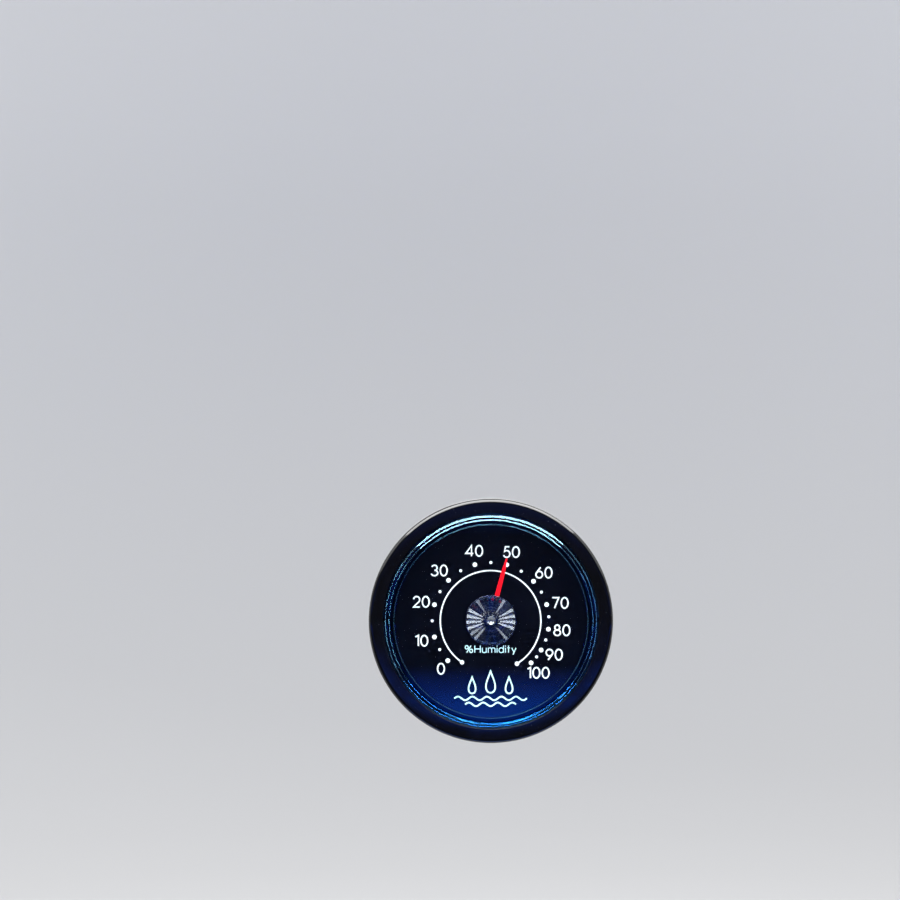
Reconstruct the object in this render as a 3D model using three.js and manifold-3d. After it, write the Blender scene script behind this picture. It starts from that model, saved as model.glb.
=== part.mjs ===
// Dial hygrometer: a round black gauge that a square of hook-and-loop fastener holds on a wall.
//
// Millimetres. +Z points to twelve o'clock, +X to three o'clock, and the dial faces -Y. The origin
// is the centre of the wall pad's sticky face, so the wall is the plane y = 0. A depth is a
// distance forwards from the wall: depth d lies at y = -d. Angles are clockwise from twelve o'clock
// as the dial is read.

import * as THREE from 'three';
import { mergeVertices } from 'three/addons/utils/BufferGeometryUtils.js';
import Module from 'manifold-3d';

const wasm = await Module();
wasm.setup();

// ---------------------------------------------------------------- driving dimensions

const FINE = 48; // facets round the housing
const COARSE = 24; // facets round the movement's small turned parts

const PAD_SIDE = 25;
const PAD_CORNER = 4;
const ADHESIVE = 0.5;
const LOOPS = 1.7;
const HOOKS = 1.5;
const PAD_GAP = 0.3; // the fastener's two halves rest tip to tip, a hair apart

const LOOP_PAD_BACK = ADHESIVE;
const HOOK_PAD_BACK = LOOP_PAD_BACK + LOOPS + PAD_GAP;
const CASE_ADHESIVE_BACK = HOOK_PAD_BACK + HOOKS;
const CASE_BACK = CASE_ADHESIVE_BACK + ADHESIVE;

const CASE_R = 35.4; // at the parting line
const CASE_BACK_R = 34.6; // the wall leans in by this draft
const CASE_DEPTH = 10.7; // back face to parting line
const CASE_WALL = 2;
const SPIGOT_R = 34.4; // the part of the wall that the bezel snaps over
const SPIGOT_DEPTH = 3.1;
const SPIGOT_BORE_R = 33;
const SNAP_RIDGE = 0.3;
const RIB_COUNT = 6;
const RIB_INNER_R = 29.5;
const RIB_WIDTH = 1.4;
const VENT_COUNT = 8;
const VENT_INNER_R = 19.5;
const VENT_OUTER_R = 28;
const VENT_WIDTH = 5;

const DIAL_R = 32.5;
const DIAL_HOLE_R = 7.1;
const DIAL_THICKNESS = 0.8;
const DIAL_BACK = CASE_BACK + 9.7;
const DIAL_FRONT = DIAL_BACK + DIAL_THICKNESS;

const BEZEL_R = 36.8;
const BEZEL_BORE_R = 34.9;
const BEZEL_LIP_R = 32.4;
const BEZEL_LIP = 1.6;
const BEZEL_ROUND = 0.8;
const BEZEL_BACK = CASE_BACK + CASE_DEPTH + 0.3; // a shadow gap at the parting line
const BEZEL_FRONT = 22;

const FLANGE_R = 34.2;
const FLANGE_BACK = CASE_BACK + CASE_DEPTH + SPIGOT_DEPTH;
const FLANGE_FRONT = BEZEL_FRONT - BEZEL_LIP - 0.3;
const LENS_R = 32.1;
const LENS_FRONT = 23.5;
const LENS_THICKNESS = 1.6;
const LENS_ROUND = 2; // outer edge of the raised window
const LENS_INNER_R = 29.7;
const LENS_INNER_ROUND = 1;
const SKIRT_R = 31.2; // the skirt presses the dial onto the case's ribs
const SKIRT_NOTCHES = [[-121.5, -94], [-18, 22.6], [59.5, 84.5]]; // air gaps through the skirt
const NOTCH_DEPTH = 2.6;

const SCREW_COUNT = 3;
const SCREW_CIRCLE_R = 11;
const SCREW_R = 0.72;
const SCREW_LENGTH = 5;
const SCREW_HEAD_R = 1.5;
const SCREW_HEAD = 1.1;
const PILLAR_R = 2.2;
const PILOT_R = 0.8;
const PILOT_DEPTH = 4.1;
const BRIDGE_BACK = CASE_BACK + 6.5;
const BRIDGE_THICKNESS = 1;
const BRIDGE_CORNER_R = 3;
const BRIDGE_FRONT = BRIDGE_BACK + BRIDGE_THICKNESS;

const PIVOT_R = 0.8; // thin rear end of the arbor
const PIVOT_CLEARANCE = 0.06;
const BUSH_R = 1.6;
const BUSH_FLANGE_R = 2.4;
const BUSH_FLANGE = 0.8;
const BUSH_BACK = BRIDGE_BACK - 0.1;
const BUSH_FRONT = BRIDGE_FRONT + BUSH_FLANGE;

const ARBOR_R = 1.4;
const ARBOR_BACK = 9.4;
const ARBOR_SHOULDER = BUSH_FRONT + 0.1;
const ARBOR_FRONT = 20.9;
const GROOVE_R = 0.62;
const GROOVE_BACK = 9.95;
const GROOVE_WIDTH = 0.5;
const CLIP_THICKNESS = 0.3;
const WASHER_THICKNESS = 0.4;

const COLLET_R = 2.3;
const COLLET_BACK = 13.1;
const COLLET_DEPTH = 3.2;

const STRIP = 0.22; // thickness of the coiled strip
const STRIP_WIDTH = 2.9;
const COIL_BACK = 13.3;
const COIL_INNER_R = 2.6;
const COIL_OUTER_R = 5.7;
const COIL_PITCH = 0.8;
const COIL_STEPS_PER_TURN = 24;
const COIL_PAST_CLIP = 12; // degrees of strip that show past the end clip

const READING = 14.6; // angle of the pointer, just under half of the scale
const POINTER_TIP_R = 19.3;
const POINTER_ROOT_R = 5.95;
const POINTER_ROOT_WIDTH = 1.4;
const POINTER_WAIST_R = 15; // the blade tapers faster from here to its tip
const POINTER_WAIST_WIDTH = 1.15;
const POINTER_TIP_WIDTH = 0.45;
const POINTER_THICKNESS = 0.3;
const POINTER_BACK = 16.9;
const POINTER_FOOT_BACK = 13.4;

const END_CLIP = { inner: 5.2, outer: 6.6, width: 1.7, back: 12.95, depth: 2, wall: 0.2 };

const ROSETTE_R = 7.7;
const ROSETTE_BACK = 17.7;
const ROSETTE_DEPTH = 2.3;
const ROSETTE_WEB = 1.4;
const ROSETTE_HOLE_R = 1.45;
const FLUTE_COUNT = 24;
const FLUTE_DEPTH = 0.6; // at the rim, running out to nothing at the hub

// ---------------------------------------------------------------- materials

const material = (color, roughness, metalness = 0, opacity = 1) => new THREE.MeshStandardMaterial({
  color, roughness, metalness, opacity, transparent: opacity < 1,
});
const blackPlastic = material(0x0c0c0e, 0.3);
const dialBlack = material(0x0b0d14, 0.4);
const clearPlastic = material(0xdfeef2, 0.08, 0, 0.3);
const pointerRed = material(0xc3213f, 0.45);
const coilDark = material(0x363a52, 0.4, 0.6);
const brass = material(0xb99a55, 0.3, 1);
const bluedSteel = material(0x2a2f42, 0.35, 1);
const steel = material(0xb8bcc0, 0.3, 1);
const fastenerBlack = material(0x17171a, 0.95);
const adhesiveWhite = material(0xe6e2d6, 0.6);

// ---------------------------------------------------------------- solids

/** Point of a flat outline at a radius and a clockwise angle in degrees. */
function polar(radius, degrees) {
  const angle = THREE.MathUtils.degToRad(degrees);
  return new THREE.Vector2(radius * Math.sin(angle), radius * Math.cos(angle));
}

/** Solid of revolution about the dial's axis. The profile is a list of [radius, depth]. */
function turned(profile, facets) {
  return new THREE.LatheGeometry(profile.map(([r, depth]) => new THREE.Vector2(r, -depth)), facets);
}

/** Solid of revolution with a hole along the axis, whose profile closes on itself. */
function turnedRing(profile, facets) {
  return turned([...profile, profile[0]], facets);
}

/** Plate cut to a flat outline, its back at depth 0. */
function plate(shape, thickness, curveSegments = 8) {
  const options = { depth: thickness, bevelEnabled: false, curveSegments };
  return new THREE.ExtrudeGeometry(shape, options).rotateX(Math.PI / 2);
}

/** Quarter round of a profile about [r, depth], from the rim side (+r) to the front (+depth). */
function quarterRound(r, depth, radius, steps) {
  return Array.from({ length: steps + 1 }, (_, i) => {
    const angle = (i / steps) * (Math.PI / 2);
    return [r + radius * Math.cos(angle), depth + radius * Math.sin(angle)];
  });
}

/** Closed, outward-facing triangles of a geometry, with shared corners and no slivers. */
function weld(geometry) {
  const bare = geometry.clone();
  bare.deleteAttribute('normal');
  bare.deleteAttribute('uv');
  const merged = mergeVertices(bare, 1e-4);
  const index = merged.index.array;
  const corners = [];
  let volume = 0;
  const [a, b, c] = [new THREE.Vector3(), new THREE.Vector3(), new THREE.Vector3()];
  for (let i = 0; i < index.length; i += 3) {
    const [p, q, r] = index.slice(i, i + 3);
    if (p === q || q === r || r === p) continue;
    [a, b, c].forEach((v, k) => v.fromBufferAttribute(merged.attributes.position, [p, q, r][k]));
    volume += a.dot(b.cross(c));
    corners.push(p, q, r);
  }
  if (volume < 0) corners.reverse();
  merged.setIndex(corners);
  return merged;
}

function toManifold(geometry) {
  const { attributes, index } = weld(geometry);
  return new wasm.Manifold(new wasm.Mesh({
    numProp: 3,
    vertProperties: new Float32Array(attributes.position.array),
    triVerts: new Uint32Array(index.array),
  }));
}

/** A body with other solids joined to it and then others cut out of it. */
function shaped(body, { join = [], cut = [] }) {
  let solid = toManifold(body);
  join.forEach((piece) => { solid = solid.add(toManifold(piece)); });
  cut.forEach((tool) => { solid = solid.subtract(toManifold(tool)); });
  const { vertProperties, triVerts } = solid.getMesh();
  const geometry = new THREE.BufferGeometry();
  geometry.setAttribute('position', new THREE.BufferAttribute(vertProperties, 3));
  geometry.setIndex(new THREE.BufferAttribute(triVerts, 1));
  return geometry;
}

/** Named mesh whose back face sits at a depth. */
function piece(name, geometry, surface, depth) {
  const flat = weld(geometry).toNonIndexed();
  flat.computeVertexNormals();
  const mesh = new THREE.Mesh(flat, surface);
  mesh.name = name;
  mesh.position.y = -depth;
  return mesh;
}

/** The i-th of a ring of copies of a geometry, turned clockwise about the dial's axis. */
function turnedCopies(count, firstAngle, make) {
  return Array.from({ length: count }, (_, i) => (
    make().rotateY(THREE.MathUtils.degToRad(firstAngle + (i * 360) / count))
  ));
}

// ---------------------------------------------------------------- hook-and-loop pads

function padGeometry(thickness) {
  const half = PAD_SIDE / 2;
  const inner = half - PAD_CORNER;
  const shape = new THREE.Shape();
  shape.absarc(inner, inner, PAD_CORNER, 0, Math.PI / 2);
  shape.absarc(-inner, inner, PAD_CORNER, Math.PI / 2, Math.PI);
  shape.absarc(-inner, -inner, PAD_CORNER, Math.PI, 1.5 * Math.PI);
  shape.absarc(inner, -inner, PAD_CORNER, 1.5 * Math.PI, 2 * Math.PI);
  return plate(shape, thickness, 4);
}

// ---------------------------------------------------------------- housing

/** Rib from the case's floor up to the dial, standing at twelve o'clock. */
function dialRib() {
  const height = DIAL_BACK - CASE_BACK - CASE_WALL / 2;
  const reach = SPIGOT_BORE_R + 0.5 - RIB_INNER_R;
  return new THREE.BoxGeometry(RIB_WIDTH, height, reach)
    .translate(0, -(CASE_WALL / 2 + height / 2), RIB_INNER_R + reach / 2);
}

/** Stadium-shaped cutter of one air slot, standing at twelve o'clock. */
function ventCutter() {
  const r = VENT_WIDTH / 2;
  const shape = new THREE.Shape();
  shape.absarc(0, VENT_OUTER_R - r, r, 0, Math.PI);
  shape.absarc(0, VENT_INNER_R + r, r, Math.PI, 2 * Math.PI);
  return plate(shape, CASE_WALL + 2).translate(0, 1, 0);
}

function pillar() {
  const profile = [[0, CASE_WALL / 2], [PILLAR_R, CASE_WALL / 2],
    [PILLAR_R, BRIDGE_BACK - CASE_BACK], [0, BRIDGE_BACK - CASE_BACK]];
  return turned(profile, COARSE).translate(0, 0, SCREW_CIRCLE_R);
}

function pilotHole() {
  const top = BRIDGE_BACK - CASE_BACK;
  const bottom = top - PILOT_DEPTH;
  const profile = [[0, bottom], [PILOT_R, bottom], [PILOT_R, top + 1], [0, top + 1]];
  return turned(profile, 12).translate(0, 0, SCREW_CIRCLE_R);
}

function rearCaseGeometry() {
  const ridge = CASE_DEPTH + 2;
  const cup = turned([
    [0, 0], [CASE_BACK_R - 1, 0], [CASE_BACK_R, 1], [CASE_R, CASE_DEPTH],
    [SPIGOT_R, CASE_DEPTH], [SPIGOT_R, ridge], [SPIGOT_R + SNAP_RIDGE, ridge + 0.3],
    [SPIGOT_R, ridge + 0.8], [SPIGOT_R, CASE_DEPTH + SPIGOT_DEPTH],
    [SPIGOT_BORE_R, CASE_DEPTH + SPIGOT_DEPTH], [SPIGOT_BORE_R - 0.3, CASE_WALL], [0, CASE_WALL],
  ], FINE);
  return shaped(cup, {
    join: [...turnedCopies(RIB_COUNT, 30, dialRib), ...turnedCopies(SCREW_COUNT, 0, pillar)],
    cut: [...turnedCopies(VENT_COUNT, 0, ventCutter), ...turnedCopies(SCREW_COUNT, 0, pilotHole)],
  });
}

function bezelGeometry() {
  const front = BEZEL_FRONT - BEZEL_BACK;
  const edge = front - BEZEL_ROUND;
  return turnedRing([
    [BEZEL_BORE_R, 0.2], [BEZEL_BORE_R - SNAP_RIDGE, 0.7], [BEZEL_BORE_R, 1.3],
    [BEZEL_BORE_R, front - BEZEL_LIP], [BEZEL_LIP_R, front - BEZEL_LIP],
    [BEZEL_LIP_R, front - 0.4], [BEZEL_LIP_R + 0.4, front],
    ...quarterRound(BEZEL_R - BEZEL_ROUND, edge, BEZEL_ROUND, 3).reverse(),
    [BEZEL_R, 0.3], [BEZEL_R - 0.3, 0],
    [BEZEL_BORE_R + 0.2, 0],
  ], FINE);
}

/** Cutter of the sector between two angles that opens an air gap in the lens's skirt. */
function notchCutter([from, to]) {
  const steps = 5;
  const at = (i) => from + ((to - from) * i) / steps;
  const outer = Array.from({ length: steps + 1 }, (_, i) => polar(SKIRT_R + 1, at(i)));
  const inner = Array.from({ length: steps + 1 }, (_, i) => polar(LENS_INNER_R - 1, at(steps - i)));
  return plate(new THREE.Shape([...outer, ...inner]), NOTCH_DEPTH + 1).translate(0, 1, 0);
}

function lensGeometry() {
  const front = LENS_FRONT - DIAL_FRONT;
  const back = front - LENS_THICKNESS;
  const cap = turned([
    [0, back],
    ...quarterRound(LENS_INNER_R - LENS_INNER_ROUND, back - LENS_INNER_ROUND, LENS_INNER_ROUND, 3)
      .reverse(),
    [LENS_INNER_R, 0], [SKIRT_R, 0], [SKIRT_R, FLANGE_BACK - DIAL_FRONT],
    [FLANGE_R, FLANGE_BACK - DIAL_FRONT], [FLANGE_R, FLANGE_FRONT - DIAL_FRONT],
    [LENS_R, FLANGE_FRONT - DIAL_FRONT],
    ...quarterRound(LENS_R - LENS_ROUND, front - LENS_ROUND, LENS_ROUND, 4),
    [0, front],
  ], FINE);
  return shaped(cap, { cut: SKIRT_NOTCHES.map(notchCutter) });
}

function dialGeometry() {
  return turnedRing([
    [DIAL_HOLE_R, 0], [DIAL_R, 0], [DIAL_R, DIAL_THICKNESS], [DIAL_HOLE_R, DIAL_THICKNESS],
  ], FINE);
}

// ---------------------------------------------------------------- movement

/** Rounded triangle with a hole for the bush and one at each screw. */
function bridgeGeometry() {
  const centres = Array.from({ length: SCREW_COUNT }, (_, i) => polar(SCREW_CIRCLE_R, -i * 120));
  const shape = new THREE.Shape();
  centres.forEach((centre, i) => {
    const middle = Math.PI / 2 + (i * 2 * Math.PI) / SCREW_COUNT;
    const span = Math.PI / SCREW_COUNT;
    shape.absarc(centre.x, centre.y, BRIDGE_CORNER_R, middle - span, middle + span);
  });
  [new THREE.Vector2(), ...centres].forEach((centre, i) => {
    const radius = i === 0 ? BUSH_R + 0.1 : SCREW_R + 0.2;
    shape.holes.push(new THREE.Path().absarc(centre.x, centre.y, radius, 0, 2 * Math.PI, true));
  });
  return plate(shape, BRIDGE_THICKNESS);
}

/** Pan-head screw with a driver slot, its tip at depth 0. */
function screwGeometry() {
  const top = SCREW_LENGTH + SCREW_HEAD;
  const blank = turned([
    [0, 0], [0.3, 0], [SCREW_R, 0.7], [SCREW_R, SCREW_LENGTH], [SCREW_HEAD_R, SCREW_LENGTH],
    [SCREW_HEAD_R, top - 0.5], [SCREW_HEAD_R - 0.5, top], [0, top],
  ], 16);
  const slot = new THREE.BoxGeometry(4, 1, 0.4).translate(0, -top, 0);
  return shaped(blank, { cut: [slot] });
}

function bushGeometry() {
  const bore = PIVOT_R + PIVOT_CLEARANCE;
  const body = BRIDGE_FRONT - BUSH_BACK;
  return turnedRing([
    [bore, 0], [BUSH_R, 0], [BUSH_R, body], [BUSH_FLANGE_R, body],
    [BUSH_FLANGE_R, body + BUSH_FLANGE], [bore, body + BUSH_FLANGE],
  ], COARSE);
}

/** Stepped pin with a grooved rear pivot and a screwdriver slot in its front end. */
function arborGeometry() {
  const length = ARBOR_FRONT - ARBOR_BACK;
  const groove = GROOVE_BACK - ARBOR_BACK;
  const shoulder = ARBOR_SHOULDER - ARBOR_BACK;
  const blank = turned([
    [0, 0], [PIVOT_R - 0.2, 0], [PIVOT_R, 0.2], [PIVOT_R, groove], [GROOVE_R, groove],
    [GROOVE_R, groove + GROOVE_WIDTH], [PIVOT_R, groove + GROOVE_WIDTH], [PIVOT_R, shoulder],
    [ARBOR_R, shoulder], [ARBOR_R, length - 0.2], [ARBOR_R - 0.2, length], [0, length],
  ], COARSE);
  const slot = new THREE.BoxGeometry(4, 1.2, 0.5).translate(0, -length, 0);
  return shaped(blank, { cut: [slot] });
}

/** Open ring that snaps into the arbor's groove. */
function retainingClipGeometry() {
  const steps = 12;
  const at = (i) => 40 + (280 * i) / steps;
  const outer = Array.from({ length: steps + 1 }, (_, i) => polar(2, at(i)));
  const inner = Array.from({ length: steps + 1 }, (_, i) => polar(GROOVE_R + 0.06, at(steps - i)));
  return plate(new THREE.Shape([...outer, ...inner]), CLIP_THICKNESS);
}

function washerGeometry() {
  return turnedRing([
    [PIVOT_R + 0.15, 0], [2.3, 0], [2.3, WASHER_THICKNESS], [PIVOT_R + 0.15, WASHER_THICKNESS],
  ], COARSE);
}

// ---------------------------------------------------------------- humidity coil and pointer

const coilTurns = (COIL_OUTER_R - COIL_INNER_R) / COIL_PITCH;
const coilStart = COIL_PAST_CLIP - coilTurns * 360; // angle of the inner end from the pointer

/** Sleeve on the arbor, slotted where the coil's inner end is held. */
function colletGeometry() {
  const sleeve = turnedRing([
    [ARBOR_R + 0.05, 0], [COLLET_R, 0], [COLLET_R, COLLET_DEPTH], [ARBOR_R + 0.05, COLLET_DEPTH],
  ], COARSE);
  const slot = new THREE.BoxGeometry(2 * STRIP, 2 * COLLET_DEPTH, 2)
    .translate(0, -COLLET_DEPTH, COLLET_R)
    .rotateY(THREE.MathUtils.degToRad(coilStart));
  return shaped(sleeve, { cut: [slot] });
}

/** Flat outline of a strip that follows a line of points. */
function ribbonShape(points, thickness) {
  const offset = (side) => points.map((point, i) => {
    const before = points[Math.max(i - 1, 0)];
    const after = points[Math.min(i + 1, points.length - 1)];
    const along = after.clone().sub(before).normalize();
    return new THREE.Vector2(-along.y, along.x).multiplyScalar((side * thickness) / 2).add(point);
  });
  return new THREE.Shape([...offset(1), ...offset(-1).reverse()]);
}

/** Spiral strip from the collet's slot out to just past the pointer's foot. */
function coilGeometry() {
  const steps = Math.round(coilTurns * COIL_STEPS_PER_TURN);
  const spiral = Array.from({ length: steps + 1 }, (_, i) => polar(
    COIL_INNER_R + (COIL_OUTER_R - COIL_INNER_R) * (i / steps),
    coilStart + (COIL_PAST_CLIP - coilStart) * (i / steps),
  ));
  const heldEnd = polar(ARBOR_R + 0.3, coilStart);
  return plate(ribbonShape([heldEnd, ...spiral], STRIP), STRIP_WIDTH);
}

/** Tapered needle with a foot that turns back beside the coil's outer end. */
function pointerGeometry() {
  const root = POINTER_ROOT_WIDTH / 2;
  const waist = POINTER_WAIST_WIDTH / 2;
  const tip = POINTER_TIP_WIDTH / 2;
  const blade = plate(new THREE.Shape([
    new THREE.Vector2(-root, POINTER_ROOT_R), new THREE.Vector2(root, POINTER_ROOT_R),
    new THREE.Vector2(waist, POINTER_WAIST_R), new THREE.Vector2(tip, POINTER_TIP_R - tip),
    new THREE.Vector2(0, POINTER_TIP_R), new THREE.Vector2(-tip, POINTER_TIP_R - tip),
    new THREE.Vector2(-waist, POINTER_WAIST_R),
  ]), POINTER_THICKNESS).translate(0, POINTER_FOOT_BACK - POINTER_BACK, 0);
  const height = POINTER_BACK - POINTER_FOOT_BACK + POINTER_THICKNESS / 2;
  const foot = new THREE.BoxGeometry(POINTER_ROOT_WIDTH - 0.2, height, POINTER_THICKNESS)
    .translate(0, -height / 2, POINTER_ROOT_R + POINTER_THICKNESS / 2 + 0.01);
  return shaped(blade, { join: [foot] });
}

/** Folded tag that grips the coil's outer end and the pointer's foot together. */
function endClipGeometry() {
  const { inner, outer, width, depth, wall } = END_CLIP;
  const reach = outer - inner;
  const block = new THREE.BoxGeometry(width, depth, reach);
  const slot = new THREE.BoxGeometry(width + 1, depth, reach - 2 * wall)
    .translate(0, -wall, 0);
  return shaped(block, { cut: [slot] }).translate(0, -depth / 2, (inner + outer) / 2);
}

/** Clear cap whose front is pleated into radial flutes. */
function rosetteGeometry() {
  const front = [[ROSETTE_R - 0.3, ROSETTE_DEPTH], [ROSETTE_HOLE_R + 0.8, ROSETTE_DEPTH]];
  const profile = [
    [ROSETTE_HOLE_R, ROSETTE_DEPTH], [ROSETTE_HOLE_R, ROSETTE_DEPTH - ROSETTE_WEB],
    [ROSETTE_R - 0.8, ROSETTE_DEPTH - ROSETTE_WEB], [ROSETTE_R - 0.6, 0], [ROSETTE_R, 0],
    [ROSETTE_R, ROSETTE_DEPTH - 0.7], ...front,
  ];
  const geometry = turnedRing(profile, 2 * FLUTE_COUNT);
  const { position } = geometry.attributes;
  const pointsPerSpoke = profile.length + 1;
  for (let spoke = 0; spoke <= 2 * FLUTE_COUNT; spoke += 2) {
    const rim = spoke * pointsPerSpoke + profile.length - front.length;
    position.setY(rim, position.getY(rim) + FLUTE_DEPTH);
  }
  return geometry;
}

// ---------------------------------------------------------------- assembly

function wallPad() {
  return new THREE.Group().add(
    piece('wall_adhesive', padGeometry(ADHESIVE), adhesiveWhite, 0),
    piece('wall_loop_pad', padGeometry(LOOPS), fastenerBlack, LOOP_PAD_BACK),
  );
}

function housing() {
  return new THREE.Group().add(
    piece('case_hook_pad', padGeometry(HOOKS), fastenerBlack, HOOK_PAD_BACK),
    piece('case_adhesive', padGeometry(ADHESIVE), adhesiveWhite, CASE_ADHESIVE_BACK),
    piece('rear_case', rearCaseGeometry(), blackPlastic, CASE_BACK),
    piece('dial_plate', dialGeometry(), dialBlack, DIAL_BACK),
    piece('lens', lensGeometry(), clearPlastic, DIAL_FRONT),
    piece('bezel_ring', bezelGeometry(), blackPlastic, BEZEL_BACK),
  );
}

function bridgeAssembly() {
  const group = new THREE.Group().add(
    piece('movement_bridge', bridgeGeometry(), bluedSteel, BRIDGE_BACK),
    piece('bearing_bush', bushGeometry(), brass, BUSH_BACK),
  );
  for (let i = 0; i < SCREW_COUNT; i += 1) {
    const screw = piece(`bridge_screw_${i + 1}`, screwGeometry(), steel, BRIDGE_FRONT - SCREW_LENGTH);
    const centre = polar(SCREW_CIRCLE_R, (i * 360) / SCREW_COUNT);
    screw.position.x = centre.x;
    screw.position.z = centre.y;
    group.add(screw);
  }
  return group;
}

function arborAssembly() {
  return new THREE.Group().add(
    piece('arbor', arborGeometry(), steel, ARBOR_BACK),
    piece('retaining_clip', retainingClipGeometry(), steel, GROOVE_BACK + 0.1),
    piece('friction_washer', washerGeometry(), steel, BUSH_BACK - WASHER_THICKNESS - 0.05),
    piece('rosette_cap', rosetteGeometry(), clearPlastic, ROSETTE_BACK),
  );
}

/** Everything that lines up with the pointer, turned to its reading. */
function coilAssembly() {
  const group = new THREE.Group().add(
    piece('arbor_collet', colletGeometry(), bluedSteel, COLLET_BACK),
    piece('humidity_coil', coilGeometry(), coilDark, COIL_BACK),
    piece('coil_end_clip', endClipGeometry(), steel, END_CLIP.back),
    piece('pointer', pointerGeometry(), pointerRed, POINTER_FOOT_BACK),
  );
  group.rotation.y = THREE.MathUtils.degToRad(READING);
  return group;
}

const hygrometer = new THREE.Group();
hygrometer.name = 'dial_hygrometer';
hygrometer.add(wallPad(), housing(), bridgeAssembly(), arborAssembly(), coilAssembly());

export default hygrometer;
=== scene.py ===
"""Dial hygrometer: the visible pieces, materials, lights and camera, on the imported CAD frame.

Metres, in the frame's axes: +Z is twelve o'clock, +X three o'clock, the dial faces -Y and the wall is
the plane y = 0. A depth is a distance forwards from the wall, so depth d lies at y = -d. Sizes are
written in millimetres times MM. Dial angles are degrees clockwise from twelve o'clock.
"""

import math
import random

import bmesh
import bpy
from mathutils import Matrix, Vector


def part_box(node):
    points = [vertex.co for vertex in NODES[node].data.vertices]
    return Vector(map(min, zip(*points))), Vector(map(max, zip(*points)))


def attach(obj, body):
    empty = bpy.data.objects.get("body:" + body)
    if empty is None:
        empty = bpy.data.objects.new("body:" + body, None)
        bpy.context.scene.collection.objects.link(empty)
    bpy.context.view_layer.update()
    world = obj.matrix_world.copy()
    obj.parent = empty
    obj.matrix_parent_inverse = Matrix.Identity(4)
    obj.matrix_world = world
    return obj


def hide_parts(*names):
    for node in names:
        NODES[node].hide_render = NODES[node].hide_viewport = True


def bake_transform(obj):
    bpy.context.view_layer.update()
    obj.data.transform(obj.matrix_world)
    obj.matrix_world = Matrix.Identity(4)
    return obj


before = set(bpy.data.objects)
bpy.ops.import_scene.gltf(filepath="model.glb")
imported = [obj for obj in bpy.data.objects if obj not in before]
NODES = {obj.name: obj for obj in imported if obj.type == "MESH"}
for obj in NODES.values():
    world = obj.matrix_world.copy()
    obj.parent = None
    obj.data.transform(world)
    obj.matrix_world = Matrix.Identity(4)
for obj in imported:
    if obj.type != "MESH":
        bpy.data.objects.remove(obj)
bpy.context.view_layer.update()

MM = 0.001
ROUND = 192  # steps round the large turned pieces


# ---------------- places taken from the frame

def back_of(node):
    return -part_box(node)[1].y


def front_of(node):
    return -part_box(node)[0].y


def radius_of(node):
    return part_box(node)[1].x


DIAL_FRONT = front_of("dial_plate")
DIAL_R = radius_of("dial_plate")
BEZEL_R = radius_of("bezel_ring")
BEZEL_FRONT = front_of("bezel_ring")
LENS_FRONT = front_of("lens")
ROSETTE_R = radius_of("rosette_cap")

# ---------------- the scale and its printing

SCALE_ANGLES = (-132.9, -106, -73.9, -46, -15.6, 16.1, 47.3, 73.8, 98.2, 120, 136)  # 0 to 100
NUMERAL_ANGLES = (-134, -106, -74.6, -45.5, -13.2, 16.8, 47.8, 75.5, 97.5, 118, 137.5)
READING = 14.6  # where the pointer rests
PRINT_DROP = 0.4 * MM  # the printing sits this far below the dial's centre
ARC_R = 15.25 * MM
ARC_FROM, ARC_TO = -145.5, 148.4
ARC_LINE = 0.39 * MM
DOT_R = 17.7 * MM
MAJOR_DOT = 1.36 * MM
MINOR_DOT = 0.88 * MM
END_DOT = 1.3 * MM
NUMERAL_R = 21.8 * MM
FIRST_NUMERAL_R, LAST_NUMERAL_R = 20.9 * MM, 21.35 * MM
NUMERAL_HEIGHT = 3.6 * MM
NUMERAL_LINE = 0.41 * MM
UNIT_DROP = 8.55 * MM
UNIT_HEIGHT = 2.4 * MM
UNIT_WIDTH = 15.7 * MM
UNIT_LINE = 0.27 * MM
EMBLEM_DROP = 20.9 * MM
EMBLEM_LINE = 0.46 * MM
EMBLEM_DROPS = ((-5.6, 1.4, 2.5), (0, 2.4, 3.3), (5.6, 1.4, 2.5))  # x, z and size in millimetres
EMBLEM_WAVES = ((22, 2.6, 5), (15.4, 4.4, 3.5))  # width and drop in millimetres, and number of waves
WAVE_HEIGHT = 0.55 * MM
INK = 0.03 * MM  # thickness of the printing
INK_STEP = 0.0001 * MM  # each stroke lies this much above the one before, so that none coincide


# ---------------- materials

def colour_mix(tree, factor, first, second):
    """Colour that runs from first to second; each is a colour or another colour output."""
    node = tree.nodes.new("ShaderNodeMix")
    node.data_type = "RGBA"
    tree.links.new(factor, node.inputs["Factor"])
    for name, value in (("A", first), ("B", second)):
        socket = [s for s in node.inputs if s.name == name and s.type == "RGBA"][0]
        if isinstance(value, tuple):
            socket.default_value = (*value, 1)
        else:
            tree.links.new(value, socket)
    return [s for s in node.outputs if s.type == "RGBA"][0]


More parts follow.
